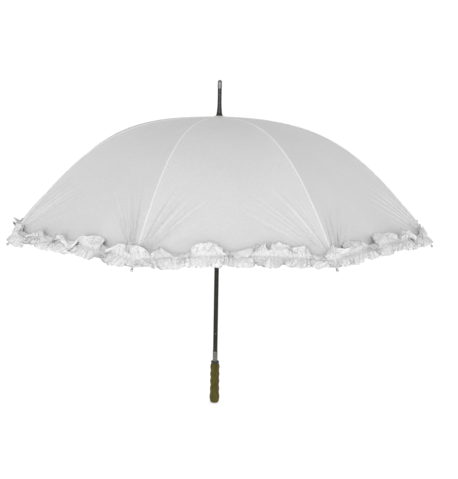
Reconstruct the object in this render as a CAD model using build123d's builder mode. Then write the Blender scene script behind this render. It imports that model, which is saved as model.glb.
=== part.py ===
"""An open eight-rib parasol: shaft, handle, runner, crown, ribs, stretchers, canopy panels and frill.

Millimetres. The origin is the centre of the handle's flat bottom end, +Z runs up the shaft,
and the middle of one canopy gore faces -Y.
"""

import os
from math import atan2, cos, hypot, radians, sin, sqrt

from build123d import *

os.makedirs("parts", exist_ok=True)

# ---- Driving dimensions ------------------------------------------------------------------------

rib_count = 8
rim_radius = 625.0           # rib tip to shaft axis, open
apex_z = 873.0               # top of the canopy
overall_height = 980.0

shaft_od = 14.0
shaft_wall = 1.0
handle_length = 126.0
handle_bore_depth = 70.0
collar_od = 15.4
collar_length = 36.0
fit_gap = 0.03               # radial gap of pieces pressed or glued together
seat_gap = 0.1               # gap between pieces that rest on each other

cloth = 0.5                  # canopy thickness
rib_depth = 5.0              # rib centre line below the canopy's outer face
rib_width = 3.0
rib_height = 2.8
rod_radius = 1.3
eye_radius = 1.9
eye_width = 1.6
slot_width = 2.3             # slots in the crown and the runner
rivet_radius = 0.6
rivet_clearance = 0.12
side_clearance = 0.15        # each side of an eye between its cheeks

crown_pivot_radius = 13.0
crown_pivot_z = 865.0
runner_pivot_radius = 16.0
runner_pivot_z = 650.0
ring_wire_radius = 0.6
ring_clearance = 0.16

flex_at = 0.5                # place along the canopy curve where the rib's two parts meet
bracket_inboard = 12.0       # stretcher bracket, inboard of that joint and below the rib line
bracket_drop = 7.0
rib_closing_angle = 76.0

frill_above = 32.0           # frill heights above and below its stitch line, measured down the cloth
frill_below = 32.0
frill_flare_top = 22.0
frill_flare_bottom = 9.0
frill_stitch_from_hem = 22.0
hem_slope_length = 1125.0    # cloth per unit of curve place near the hem
frill_skin = 1.0

rib_step = 360.0 / rib_count
half_gore = rib_step / 2
first_rib_angle = half_gore  # puts the middle of a gore on -Y

# ---- The canopy's curve in a rib's plane: a cubic Bezier, x outward and y up -------------------

curve_points = [
    (0.0, apex_z),
    (0.4409 * rim_radius, apex_z - 0.008 * rim_radius),
    (0.638 * rim_radius, apex_z - 0.062 * rim_radius),
    (rim_radius, apex_z - 0.5361 * rim_radius),
]


def cloth_point(t):
    """Point of the canopy's outer face over a rib, t from 0 at the apex to 1 at the tip."""
    weights = ((1 - t) ** 3, 3 * t * (1 - t) ** 2, 3 * t * t * (1 - t), t**3)
    x = sum(w * p[0] for w, p in zip(weights, curve_points))
    z = sum(w * p[1] for w, p in zip(weights, curve_points))
    return x, z


def cloth_direction(t):
    """Unit direction of the curve, outward and down."""
    weights = ((1 - t) ** 2, 2 * t * (1 - t), t * t)
    steps = [(b[0] - a[0], b[1] - a[1]) for a, b in zip(curve_points, curve_points[1:])]
    x = sum(w * s[0] for w, s in zip(weights, steps))
    z = sum(w * s[1] for w, s in zip(weights, steps))
    return x / hypot(x, z), z / hypot(x, z)


def below_cloth(t, depth, along=0.0, squeeze=1.0):
    """Point a depth under the cloth, moved along it, with the radius scaled by squeeze."""
    x, z = cloth_point(t)
    dx, dz = cloth_direction(t)
    return ((x + along * dx + depth * dz) * squeeze, z + along * dz - depth * dx)


# ---- The linkage, in a rib's plane -------------------------------------------------------------

crown_pivot = (crown_pivot_radius, crown_pivot_z)
runner_pivot = (runner_pivot_radius, runner_pivot_z)
flex_joint = below_cloth(flex_at, rib_depth)
bracket = below_cloth(flex_at, rib_depth + bracket_drop, along=-bracket_inboard)
stretcher_length = hypot(bracket[0] - runner_pivot[0], bracket[1] - runner_pivot[1])
bracket_reach = hypot(bracket[0] - crown_pivot[0], bracket[1] - crown_pivot[1])
bracket_angle = atan2(crown_pivot[1] - bracket[1], bracket[0] - crown_pivot[0])
closed_angle = bracket_angle + radians(rib_closing_angle)
closed_bracket = (
    crown_pivot[0] + bracket_reach * cos(closed_angle),
    crown_pivot[1] - bracket_reach * sin(closed_angle),
)
closed_offset = closed_bracket[0] - runner_pivot_radius
closed_runner_z = closed_bracket[1] - sqrt(stretcher_length**2 - closed_offset**2)
runner_travel = runner_pivot_z - closed_runner_z

# ---- Levels along the shaft --------------------------------------------------------------------

shaft_radius = shaft_od / 2
runner_flange_radius = 18.5
runner_flange_half = 5.0
runner_sleeve_radius = 9.6
runner_sleeve_length = 44.0
runner_bore_radius = shaft_radius + 0.08
runner_top = runner_pivot_z + runner_flange_half
runner_bottom = runner_pivot_z - runner_flange_half - runner_sleeve_length
crown_radius = 16.0
crown_bottom = crown_pivot_z - 7.0
crown_top = apex_z - cloth - 0.4
stop_pin_radius = 1.0
stop_pin_z = runner_top + stop_pin_radius + 0.4
catch_wire = 0.9             # radius of the catches' wire
catch_reach = 11.6           # how far the catch stands out from the axis
catch_lever = 34.0           # ledge to foot
catch_run = 25.0             # shaft slot from a ledge along the catch's slope
catch_end = 5.0              # shaft slot from a ledge the other way
catch_gap = 0.4              # slot wider than the wire, each side
upper_ledge = runner_bottom - catch_wire - 0.3
lower_ledge = closed_runner_z - 36.0
window_half_width = 2.2
window_length = 26.0
crown_pin_z = crown_bottom + 2.5
crown_pin_reach = 9.4
stop_pin_reach = 9.2
pin_fit = 0.02

# ---- Helpers -----------------------------------------------------------------------------------

rib_plane = Plane.XZ         # sketch x is outward, sketch y is up, at azimuth 0


def plate(width):
    """Distance to extrude each way for a plate centred on the rib's plane."""
    return width / 2


def strip(start, end, upper, lower, points=7, squeeze=1.0):
    """Closed outline between two depths under the cloth, from curve place start to end."""
    places = [start + (end - start) * i / (points - 1) for i in range(points)]
    top = [below_cloth(t, upper, squeeze=squeeze) for t in places]
    bottom = [below_cloth(t, lower, squeeze=squeeze) for t in reversed(places)]
    Spline(*top)
    Line(top[-1], bottom[0])
    Spline(*bottom)
    Line(bottom[-1], top[0])


def bar_plane(start, end):
    """Plane at start whose x runs towards end and whose y lies in the rib's plane."""
    run = Vector(end[0] - start[0], 0, end[1] - start[1])
    return Plane(origin=(start[0], 0, start[1]), x_dir=run, z_dir=(0, -1, 0))


def save(shape, name):
    shape.label = name
    export_step(shape, f"parts/{name}.step")


def save_around(shape, name):
    """Write one copy per rib, turned to its azimuth."""
    for k in range(rib_count):
        turned = shape.rotate(Axis.Z, first_rib_angle + k * rib_step)
        save(turned, f"{name}_{k + 1}")


# ---- Shaft, handle and collar ------------------------------------------------------------------

shaft_bottom = handle_length - handle_bore_depth
shaft_top = apex_z + 14.0

with BuildPart() as shaft:
    with BuildSketch(Plane.XY.offset(shaft_bottom)):
        Circle(shaft_radius)
        Circle(shaft_radius - shaft_wall, mode=Mode.SUBTRACT)
    extrude(amount=shaft_top - shaft_bottom)
    # slots on the back where the catches stand out
    upper_slot_middle = upper_ledge - (catch_run - catch_end) / 2
    lower_slot_middle = lower_ledge + (catch_run - catch_end) / 2
    with BuildSketch(Plane.XZ.offset(-shaft_od)):
        with Locations((0, upper_slot_middle), (0, lower_slot_middle)):
            SlotOverall(catch_run + catch_end, 2 * (catch_wire + catch_gap), rotation=90)
    extrude(amount=shaft_od, mode=Mode.SUBTRACT)
    # small holes on the front for the catches' feet
    for foot_z in (upper_ledge - catch_lever, lower_ledge + catch_lever):
        with BuildSketch(Plane.XZ):
            with Locations((0, foot_z)):
                Circle(catch_wire + 0.25)
        extrude(amount=shaft_od, mode=Mode.SUBTRACT)
    # cross holes for the two pins
    with BuildSketch(Plane.YZ):
        with Locations((0, crown_pin_z), (0, stop_pin_z)):
            Circle(stop_pin_radius + pin_fit)
    extrude(amount=shaft_od, both=True, mode=Mode.SUBTRACT)

with BuildPart() as shaft_pins:
    with BuildSketch(Plane.YZ):
        with Locations((0, crown_pin_z)):
            Circle(stop_pin_radius)
    extrude(amount=crown_pin_reach, both=True)
    with BuildSketch(Plane.YZ):
        with Locations((0, stop_pin_z)):
            Circle(stop_pin_radius)
    extrude(amount=stop_pin_reach, both=True)

# half-profile of the turned handle: the fat end, then grooves and crests by turns
handle_foot = 8.0            # radius of the flat bottom
handle_shoulder = 11.4       # radius of the flat top
handle_profile = [
    (13.6, 6.0),
    (15.3, 17.0),
    (14.9, 24.0),
    (13.5, 32.5),
    (14.6, 44.0),
    (13.0, 56.5),
    (14.6, 68.0),
    (13.0, 79.0),
    (14.5, 89.0),
    (13.2, 100.0),
    (14.3, 112.0),
    (12.9, 121.5),
]

with BuildPart() as handle:
    with BuildSketch(Plane.XZ):
        with BuildLine():
            Line((0, 0), (handle_foot, 0))
            ThreePointArc((handle_foot, 0), (11.9, 1.9), handle_profile[0])
            Spline(*handle_profile)
            Line(handle_profile[-1], (handle_shoulder, handle_length))
            Line((handle_shoulder, handle_length), (0, handle_length))
            Line((0, handle_length), (0, 0))
        make_face()
    revolve(axis=Axis.Z)
    with BuildSketch(Plane.XY.offset(handle_length)):
        Circle(shaft_radius + fit_gap)
    extrude(amount=-handle_bore_depth - 0.5, mode=Mode.SUBTRACT)

with BuildPart() as handle_collar:
    with BuildSketch(Plane.XY.offset(handle_length + seat_gap)):
        Circle(collar_od / 2)
        Circle(shaft_radius + fit_gap, mode=Mode.SUBTRACT)
    extrude(amount=collar_length)
    top_edges = handle_collar.edges().filter_by(GeomType.CIRCLE).group_by(Axis.Z)[-1]
    fillet(top_edges.sort_by(SortBy.RADIUS)[-1], 0.4)

# ---- Ferrule and rosette -----------------------------------------------------------------------

rosette_radius = 15.0
rosette_height = 2.6
rosette_bottom = apex_z + seat_gap
ferrule_bottom = rosette_bottom + rosette_height + seat_gap
ferrule_foot = 10.0          # radius of the spike's foot
ferrule_neck = 5.9           # radius of the spike under its cap
cap_bottom = overall_height - 25.0
cap_radius = 6.4

with BuildPart() as rosette:
    with BuildSketch(Plane.XY.offset(rosette_bottom)):
        Circle(rosette_radius)
        Circle(shaft_radius + seat_gap, mode=Mode.SUBTRACT)
    extrude(amount=rosette_height)
    top_edges = rosette.edges().filter_by(GeomType.CIRCLE).group_by(Axis.Z)[-1]
    fillet(top_edges.sort_by(SortBy.RADIUS)[-1], 1.2)

with BuildPart() as ferrule:
    with BuildSketch(Plane.XZ):
        with BuildLine():
            Line((0, ferrule_bottom), (ferrule_foot, ferrule_bottom))
            Line((ferrule_foot, ferrule_bottom), (ferrule_foot, ferrule_bottom + 1.5))
            Spline(
                (ferrule_foot, ferrule_bottom + 1.5),
                (8.6, ferrule_bottom + 5.5),
                (7.5, ferrule_bottom + 13.0),
                (6.4, ferrule_bottom + 28.0),
                (ferrule_neck, ferrule_bottom + 50.0),
                (ferrule_neck, cap_bottom - seat_gap),
            )
            Line((ferrule_neck, cap_bottom - seat_gap), (0, cap_bottom - seat_gap))
            Line((0, cap_bottom - seat_gap), (0, ferrule_bottom))
        make_face()
    revolve(axis=Axis.Z)
    with BuildSketch(Plane.XY.offset(ferrule_bottom)):
        Circle(shaft_radius + fit_gap)
    extrude(amount=shaft_top + 0.5 - ferrule_bottom, mode=Mode.SUBTRACT)
    # the rounded cap is a second solid, seated on the spike's end
    with BuildSketch(Plane.XZ):
        with BuildLine():
            Line((0, cap_bottom), (cap_radius, cap_bottom))
            Line((cap_radius, cap_bottom), (cap_radius, overall_height - cap_radius))
            CenterArc((0, overall_height - cap_radius), cap_radius, 0, 90)
            Line((0, overall_height), (0, cap_bottom))
        make_face()
    revolve(axis=Axis.Z)

# ---- Crown and its wire ring -------------------------------------------------------------------

crown_slot_floor = 9.5       # radius that the crown's slots are cut in to
runner_slot_floor = 12.0

with BuildPart() as crown:
    with BuildSketch(Plane.XY.offset(crown_bottom)):
        Circle(crown_radius)
        Circle(shaft_radius + fit_gap, mode=Mode.SUBTRACT)
    extrude(amount=crown_top - crown_bottom)
    with BuildSketch(Plane.XY.offset(crown_bottom)):
        with PolarLocations(crown_radius, rib_count, start_angle=first_rib_angle):
            Rectangle(2 * (crown_radius - crown_slot_floor), slot_width)
    extrude(amount=crown_top - crown_bottom, mode=Mode.SUBTRACT)
    with BuildSketch(Plane.XZ):
        with Locations(crown_pivot):
            Circle(ring_wire_radius + ring_clearance)
    revolve(axis=Axis.Z, mode=Mode.SUBTRACT)
    with BuildSketch(Plane.YZ):
        with Locations((0, crown_pin_z)):
            Circle(stop_pin_radius + pin_fit)
    extrude(amount=crown_pin_reach + seat_gap, both=True, mode=Mode.SUBTRACT)

with BuildPart() as crown_wire:
    with BuildSketch(Plane.XZ):
        with Locations(crown_pivot):
            Circle(ring_wire_radius)
    revolve(axis=Axis.Z)

# ---- Runner and its wire ring ------------------------------------------------------------------

with BuildPart() as runner:
    with BuildSketch(Plane.XZ):
        with BuildLine():
            Polyline(
                (runner_bore_radius, runner_bottom),
                (runner_sleeve_radius + 1.2, runner_bottom),
                (runner_sleeve_radius + 1.2, runner_bottom + 4),
                (runner_sleeve_radius, runner_bottom + 6),
                (runner_sleeve_radius, runner_top - 14),
                (runner_flange_radius - 3, runner_top - 10),
                (runner_flange_radius, runner_top - 9),
                (runner_flange_radius, runner_top - 1.5),
                (runner_flange_radius - 1.5, runner_top),
                (runner_bore_radius, runner_top),
                close=True,
            )
        make_face()
    revolve(axis=Axis.Z)
    with BuildSketch(Plane.XY.offset(runner_top)):
        with PolarLocations(runner_flange_radius, rib_count, start_angle=first_rib_angle):
            Rectangle(2 * (runner_flange_radius - runner_slot_floor), slot_width)
    extrude(amount=-15, mode=Mode.SUBTRACT)
    with BuildSketch(Plane.XZ):
        with Locations(runner_pivot):
            Circle(ring_wire_radius + ring_clearance)
    revolve(axis=Axis.Z, mode=Mode.SUBTRACT)
    # window on the back for the lower catch when the parasol is closed
    window_low = lower_ledge + runner_travel - catch_wire - catch_gap
    with BuildSketch(Plane.XZ):
        with Locations((0, window_low + window_length / 2)):
            SlotOverall(window_length, 2 * window_half_width, rotation=90)
    extrude(amount=-2 * runner_sleeve_radius, mode=Mode.SUBTRACT)

with BuildPart() as runner_wire:
    with BuildSketch(Plane.XZ):
        with Locations(runner_pivot):
            Circle(ring_wire_radius)
    revolve(axis=Axis.Z)

# ---- Catches: bent wire springs inside the shaft -----------------------------------------------

catch_slope = 22.0           # along the shaft, ledge to the slope's inner end
catch_bend = 0.95            # radius of the wire's bends
foot_end = shaft_radius + 0.05


def catch_path(ledge, up):
    """Wire path in the YZ plane: foot, lever, ledge and slope. up is 1 with the ledge on top."""
    FilletPolyline(
        (-foot_end, ledge - up * catch_lever),
        (-shaft_radius + 2.2, ledge - up * catch_lever),
        (0.5, ledge),
        (catch_reach, ledge),
        (3.2, ledge - up * catch_slope),
        (3.0, ledge - up * (catch_slope + 4)),
        radius=catch_bend,
    )


with BuildPart() as upper_catch:
    with BuildLine(Plane.YZ):
        catch_path(upper_ledge, 1)
    with BuildSketch(Plane.XZ.offset(foot_end)):
        with Locations((0, upper_ledge - catch_lever)):
            Circle(catch_wire)
    sweep()

with BuildPart() as lower_catch:
    with BuildLine(Plane.YZ):
        catch_path(lower_ledge, -1)
    with BuildSketch(Plane.XZ.offset(foot_end)):
        with Locations((0, lower_ledge + catch_lever)):
            Circle(catch_wire)
    sweep()

# ---- Ribs --------------------------------------------------------------------------------------

crown_rib_place = 0.045      # curve place where the channel starts, clear of the crown
channel_end = flex_at - 0.010
channel_web = 0.7            # height of channel web left above its hollow
channel_hollow = eye_width + 2 * side_clearance
tongue_height = 2.4
rivet_head = 0.8             # how far a rivet stands out, each side

with BuildPart() as rib_inner:
    # channel with its web against the cloth
    with BuildSketch(rib_plane):
        with BuildLine():
            strip(crown_rib_place, channel_end, rib_depth - rib_height / 2, rib_depth + rib_height / 2)
        make_face()
    extrude(amount=plate(rib_width), both=True)
    with BuildSketch(rib_plane):
        with BuildLine():
            strip(crown_rib_place + 0.01, flex_at, rib_depth - channel_web, rib_depth + rib_height)
        make_face()
    extrude(amount=plate(channel_hollow), both=True, mode=Mode.SUBTRACT)
    # flat tongue with an eye round the crown's wire
    tongue_end = below_cloth(crown_rib_place + 0.006, rib_depth)
    with BuildSketch(bar_plane(crown_pivot, tongue_end)):
        tongue_length = hypot(tongue_end[0] - crown_pivot[0], tongue_end[1] - crown_pivot[1])
        with Locations((tongue_length / 2, 0)):
            Rectangle(tongue_length, tongue_height)
        Circle(eye_radius)
        Circle(ring_wire_radius + ring_clearance, mode=Mode.SUBTRACT)
    extrude(amount=plate(eye_width), both=True)
    # two cheeks that carry the rivet of the rib's second joint
    cheek_start = below_cloth(channel_end - 0.003, rib_depth)
    with BuildSketch(bar_plane(cheek_start, flex_joint)):
        cheek_length = hypot(flex_joint[0] - cheek_start[0], flex_joint[1] - cheek_start[1])
        with Locations((cheek_length / 2, 0)):
            Rectangle(cheek_length, rib_height)
        with Locations((cheek_length, 0)):
            Circle(eye_radius)
            Circle(rivet_radius + rivet_clearance, mode=Mode.SUBTRACT)
    extrude(amount=plate(rib_width), both=True)
    with BuildSketch(bar_plane(cheek_start, flex_joint)):
        with Locations((cheek_length / 2 + 3.0, 0)):
            Rectangle(cheek_length + 4.0, 3 * rib_height)
    extrude(amount=plate(channel_hollow), both=True, mode=Mode.SUBTRACT)
    # bracket under the channel for the stretcher
    bracket_top = below_cloth(flex_at, rib_depth - 1.0, along=-bracket_inboard)
    with BuildSketch(bar_plane(bracket, bracket_top)):
        with Locations((bracket_drop / 2 + 0.5, 0)):
            Rectangle(bracket_drop + 1.0, 2 * eye_radius)
        Circle(eye_radius)
        Circle(rivet_radius + rivet_clearance, mode=Mode.SUBTRACT)
    extrude(amount=plate(eye_width), both=True)
    # the rivet of the second joint is a separate solid
    with BuildSketch(rib_plane):
        with Locations(flex_joint):
            Circle(rivet_radius)
    extrude(amount=plate(rib_width) + rivet_head, both=True)

rod_depth = rib_depth - 1.0
rod_sections = 6
tip_direction = cloth_direction(1.0)
rod_end = below_cloth(1.0, rod_depth)


def plane_across(point, direction):
    """Plane at a point of the rib's plane, square to a direction in it."""
    axis = Vector(direction[0], 0, direction[1])
    return Plane(origin=(point[0], 0, point[1]), x_dir=(0, 1, 0), z_dir=axis)


with BuildPart() as rib_outer:
    first_place = flex_at + 0.03
    rod_places = [first_place + (1 - first_place) * i / rod_sections for i in range(rod_sections + 1)]
    with BuildLine(rib_plane):
        Spline(*[below_cloth(t, rod_depth) for t in rod_places])
    with BuildSketch(plane_across(below_cloth(first_place, rod_depth), cloth_direction(first_place))):
        Circle(rod_radius)
    sweep()
    # flat eye on the rivet
    eye_end = below_cloth(first_place + 0.012, rod_depth)
    eye_length = hypot(eye_end[0] - flex_joint[0], eye_end[1] - flex_joint[1])
    with BuildSketch(bar_plane(flex_joint, eye_end)):
        with Locations((eye_length / 2, 0)):
            Rectangle(eye_length, 2.2)
        Circle(eye_radius - 0.2)
        Circle(rivet_radius + rivet_clearance, mode=Mode.SUBTRACT)
    extrude(amount=plate(eye_width), both=True)

tip_plane = plane_across(rod_end, tip_direction)
tip_sleeve_radius = 2.3
tip_sleeve_length = 9.3
tip_ball_radius = 3.8
tip_ball_offset = 5.0        # rod end to ball centre
tip_hole_radius = 0.8
tip_bottom_gap = 0.3         # rod end to sleeve bottom

with BuildPart() as rib_tip:
    # sleeve over the rod's end, closed by a ball
    with BuildSketch(tip_plane.offset(tip_bottom_gap - tip_sleeve_length)):
        Circle(tip_sleeve_radius)
        Circle(rod_radius + 0.08, mode=Mode.SUBTRACT)
    extrude(amount=tip_sleeve_length)
    with BuildSketch(tip_plane.offset(tip_bottom_gap)):
        Circle(tip_sleeve_radius)
    extrude(amount=tip_ball_offset)
    with Locations(tip_plane.offset(tip_ball_offset)):
        Sphere(tip_ball_radius)
    # hole that the cloth is sewn to
    ball_centre = (
        rod_end[0] + tip_ball_offset * tip_direction[0],
        rod_end[1] + tip_ball_offset * tip_direction[1],
    )
    with BuildSketch(rib_plane):
        with Locations(ball_centre):
            Circle(tip_hole_radius)
    extrude(amount=2 * tip_ball_radius, both=True, mode=Mode.SUBTRACT)

# ---- Stretcher ---------------------------------------------------------------------------------

stretcher_width = 3.6
stretcher_height = 3.0
stretcher_top = 1.0          # height of the bar left above its hollow
ear_gap = eye_width + 0.4
ear_length = 12.0            # fork depth behind the rivet
blade_length = 26.0
stretcher_plane = bar_plane(runner_pivot, bracket)

with BuildPart() as stretcher:
    # bar, forked at the rib end
    with BuildSketch(stretcher_plane):
        with Locations(((stretcher_length + blade_length) / 2, 0)):
            Rectangle(stretcher_length - blade_length, stretcher_height)
        with Locations((stretcher_length, 0)):
            Circle(eye_radius)
            Circle(rivet_radius + rivet_clearance, mode=Mode.SUBTRACT)
    extrude(amount=plate(stretcher_width), both=True)
    with BuildSketch(stretcher_plane):
        with Locations((stretcher_length - ear_length / 3, 0)):
            Rectangle(4 * ear_length / 3, 3 * stretcher_height)
    extrude(amount=plate(ear_gap), both=True, mode=Mode.SUBTRACT)
    # channel open on the underside
    with BuildSketch(stretcher_plane.offset(-plate(ear_gap))):
        with Locations(((stretcher_length + blade_length) / 2 - 4, -0.8)):
            Rectangle(stretcher_length - blade_length - 16, stretcher_height - stretcher_top)
    extrude(amount=ear_gap, mode=Mode.SUBTRACT)
    # flat blade with an open hook round the runner's wire
    with BuildSketch(stretcher_plane):
        with Locations((blade_length / 2 + 1.0, 0)):
            Rectangle(blade_length, tongue_height)
        Circle(eye_radius)
        Circle(ring_wire_radius + ring_clearance, mode=Mode.SUBTRACT)
        with Locations((-eye_radius, 0)):
            Rectangle(2 * eye_radius, 2 * (ring_wire_radius + ring_clearance), mode=Mode.SUBTRACT)
    extrude(amount=plate(eye_width), both=True)
    # the rivet at the rib's bracket is a separate solid
    with BuildSketch(rib_plane):
        with Locations(bracket):
            Circle(rivet_radius)
    extrude(amount=plate(stretcher_width) + rivet_head, both=True)

# ---- Canopy panel: the cloth from one mid-gore line over a rib to the next ---------------------

# a gore is straight across, so its mid line is the rib's curve drawn in by cos(half_gore)
gore_squeeze = cos(radians(half_gore))
gore_plane = Plane.XZ.rotated((0, 0, half_gore))
cloth_start = 0.016
sewing_gap = 0.05


def trim_to_wedge():
    """Cut the half gore off at the rib's plane and just short of the mid-gore line."""
    split(bisect_by=Plane.XZ, keep=Keep.BOTTOM)
    split(bisect_by=Plane.XZ.offset(sewing_gap).rotated((0, 0, half_gore)), keep=Keep.TOP)


with BuildPart() as canopy_panel:
    with BuildSketch(gore_plane):
        with BuildLine():
            strip(cloth_start, 1.0, 0.0, cloth, points=9, squeeze=gore_squeeze)
        make_face()
    extrude(amount=rim_radius / 2, both=True)
    trim_to_wedge()
    mirror(about=Plane.XZ)

# ---- Frill: a double-edged ruffle round the hem, standing off the cloth on both sides of its stitching 

stitch_place = 1.0 - frill_stitch_from_hem / hem_slope_length


def frill_outline():
    """Section of the frill: two leaves that meet at the stitch line just outside the cloth."""
    stitch = below_cloth(stitch_place, -0.3, squeeze=gore_squeeze)
    top = below_cloth(stitch_place, -frill_flare_top, along=-frill_above, squeeze=gore_squeeze)
    bottom = below_cloth(stitch_place, -frill_flare_bottom, along=frill_below, squeeze=gore_squeeze)
    Polyline(
        stitch,
        (top[0] - 0.5, top[1] - frill_skin),
        top,
        (stitch[0] + 2.0, stitch[1] + 1.0),
        bottom,
        (bottom[0] - frill_skin, bottom[1]),
        close=True,
    )


with BuildPart() as frill:
    with BuildSketch(gore_plane):
        with BuildLine():
            frill_outline()
        make_face()
    extrude(amount=rim_radius / 2 + frill_above, both=True)
    trim_to_wedge()
    mirror(about=Plane.XZ)

# ---- Write the pieces --------------------------------------------------------------------------

save(shaft.part, "shaft")
save(shaft_pins.part, "shaft_pins")
save(handle.part, "handle")
save(handle_collar.part, "handle_collar")
save(rosette.part, "rosette")
save(ferrule.part, "ferrule")
save(crown.part, "crown")
save(crown_wire.part, "crown_wire")
save(runner.part, "runner")
save(runner_wire.part, "runner_wire")
save(upper_catch.part, "upper_catch")
save(lower_catch.part, "lower_catch")
save_around(rib_inner.part, "rib_inner")
save_around(rib_outer.part, "rib_outer")
save_around(rib_tip.part, "rib_tip")
save_around(stretcher.part, "stretcher")
save_around(canopy_panel.part, "canopy_panel")
save_around(frill.part, "frill")
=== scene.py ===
"""Looks for the lace parasol: cloth canopy, gathered frill, seams and every finish.

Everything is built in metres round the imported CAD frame, +Z up, with the camera on the -Y side.
"""

import math

import bpy
import numpy as np
from mathutils import Matrix, Vector


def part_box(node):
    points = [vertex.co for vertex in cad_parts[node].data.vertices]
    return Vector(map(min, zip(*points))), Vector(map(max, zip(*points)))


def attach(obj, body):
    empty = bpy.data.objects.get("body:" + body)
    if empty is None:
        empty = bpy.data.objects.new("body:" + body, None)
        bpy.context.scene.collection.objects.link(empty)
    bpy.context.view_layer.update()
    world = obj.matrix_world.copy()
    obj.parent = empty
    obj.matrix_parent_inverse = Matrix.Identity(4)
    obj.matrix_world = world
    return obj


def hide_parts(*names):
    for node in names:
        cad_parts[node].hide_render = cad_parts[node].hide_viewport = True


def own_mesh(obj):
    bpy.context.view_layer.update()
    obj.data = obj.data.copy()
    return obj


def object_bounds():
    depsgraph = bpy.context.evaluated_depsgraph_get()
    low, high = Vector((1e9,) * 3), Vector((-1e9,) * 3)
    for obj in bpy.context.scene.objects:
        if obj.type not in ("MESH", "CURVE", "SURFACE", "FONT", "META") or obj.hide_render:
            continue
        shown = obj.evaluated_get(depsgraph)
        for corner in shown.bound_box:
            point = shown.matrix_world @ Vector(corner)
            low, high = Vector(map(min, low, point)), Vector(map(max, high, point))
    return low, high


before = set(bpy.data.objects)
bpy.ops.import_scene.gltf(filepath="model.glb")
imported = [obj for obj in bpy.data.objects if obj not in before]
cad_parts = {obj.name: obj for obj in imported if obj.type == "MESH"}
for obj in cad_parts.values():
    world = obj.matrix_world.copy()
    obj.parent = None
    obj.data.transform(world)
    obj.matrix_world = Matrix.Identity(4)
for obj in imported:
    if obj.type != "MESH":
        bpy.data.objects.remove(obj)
cad_low, cad_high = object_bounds()

# ---- Driving sizes, in metres --------------------------------------------------------------------

RIBS = 8
HALF_GORE = math.pi / RIBS
FIRST_RIB = HALF_GORE                 # azimuth of rib 1
RIM = 0.625                           # rib tip to shaft axis
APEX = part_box("canopy_panel_1")[1].z  # top of the cloth
CURVE = ((0.0, 0.0), (0.4409, -0.008), (0.638, -0.062), (1.0, -0.5361))   # in rim radii, from the apex
CLOTH = 0.00045                       # thickness of the shells that stand for cloth
FLEX = 0.5                            # place on the curve where the ribs' two parts meet
CLOTH_START = 0.016                   # place on the curve where the cloth starts, round the shaft
CLOTH_SCALE = 0.75                    # metres of weave for each unit of curve place
RIM_SLOPE_LENGTH = 1.125              # metres of cloth per unit of curve place at the rim
FLEX_SLOPE_LENGTH = 0.626             # the same at the ribs' second joint
UNDERLAP = 0.017                      # how far the inner cloth runs on under the outer, in mid gore
UNDERLAP_AT_RIB = 0.003
UNDERLAP_DEPTH = 0.0008               # and how far beneath it
UNDERLAP_STEPS = (0.25, 0.5, 0.75, 1.0)
HEM_SAG = 0.010                       # the hem's rise between ribs
GORE_SAG = 0.007                      # how far a gore's middle pulls in from the straight chord
STITCH_ABOVE_HEM = 0.022              # frill's stitch line to hem
STITCH = 1 - STITCH_ABOVE_HEM / RIM_SLOPE_LENGTH   # place of the stitch line on the curve
FRILL_UP = 0.034                      # frill above and below its stitch line
FRILL_DOWN = 0.033

GORE_ROWS_INNER = 46
GORE_ROWS_OUTER = 120
GORE_COLUMNS = 72                     # per half gore
COLUMN_CROWDING = 1.5                 # above 1, columns crowd towards the ribs, where the wrinkles are

# slack of the cloth between the ribs
SWELL_HEIGHT = 0.0016
SWELLS_ACROSS = 2.2                   # per half gore
SWELLS_DOWN = 3.1                     # from apex to hem
CREASE_HEIGHT = 0.0009                # packing crease down the middle of each gore
CREASE_WIDTH = 0.02                   # in half gore widths
PUCKER_HEIGHT = 0.0011                # puckers where the frill gathers the hem
PUCKER_STEP = 0.0075
PUCKER_REACH = 0.016

# tension wrinkles that fan out from the rib tips; angles in radians from the fan's edge
FAN_LEAN = 0.35                       # tangent of the angle between rib and fan edge
FAN_EDGE = 0.04                       # angle over which the fan rises from its edge
FAN_OPENING = 0.60                    # angle at which it starts to fade
FAN_FADE = 0.5
FAN_REACH = 0.155
WAVE_HEIGHT = 0.0018
WAVE_RATES = (21.0, 43.0)             # per radian
RIDGE_HEIGHT = 0.0024
RIDGE_RATE = 29.0
HELD_FROM = 0.032                     # below this height above the hem the frill holds wrinkles flat
HELD_FADE = 0.026
HELD_SHARE = 0.3                      # and leaves this share of them
HARD_PULLED = ((4, 1), (6, -1), (1, 1), (2, -1))   # (gore, side) where the cloth is stretched hardest
HARD_PULL = 2.6
HARD_PULL_ANGLE = 0.45
HARD_PULL_REACH = 0.13


# ---- Smooth repeatable noise ---------------------------------------------------------------------

def hash_unit(index, seed):
    """Repeatable value in -1..1 for each whole number."""
    x = np.sin(index * 127.1 + seed * 311.7) * 43758.5453
    return 2 * (x - np.floor(x)) - 1


def noise(x, seed):
    """Smooth one-dimensional noise in -1..1, one bump per unit."""
    x = np.asarray(x, float)
    cell = np.floor(x)
    f = x - cell
    f = f * f * (3 - 2 * f)
    return hash_unit(cell, seed) * (1 - f) + hash_unit(cell + 1, seed) * f


def noise2(x, y, seed):
    """Smooth two-dimensional noise in -1..1."""
    cell = np.floor(y)
    f = y - cell
    f = f * f * (3 - 2 * f)
    low = noise(x + cell * 17.31, seed + 1.7)
    high = noise(x + (cell + 1) * 17.31, seed + 1.7)
    return low * (1 - f) + high * f


def ease(x):
    """Smooth step from 0 at 0 to 1 at 1."""
    x = np.clip(x, 0, 1)
    return x * x * (3 - 2 * x)


def bell(x):
    """Smooth hump, 1 at 0 and nearly gone at 2."""
    return np.exp(-(x**2))


# ---- Canopy surface ------------------------------------------------------------------------------

def rib_turn(k):
    """Azimuth of rib k, counted from 1."""
    return FIRST_RIB + (k - 1) * 2 * HALF_GORE


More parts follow.
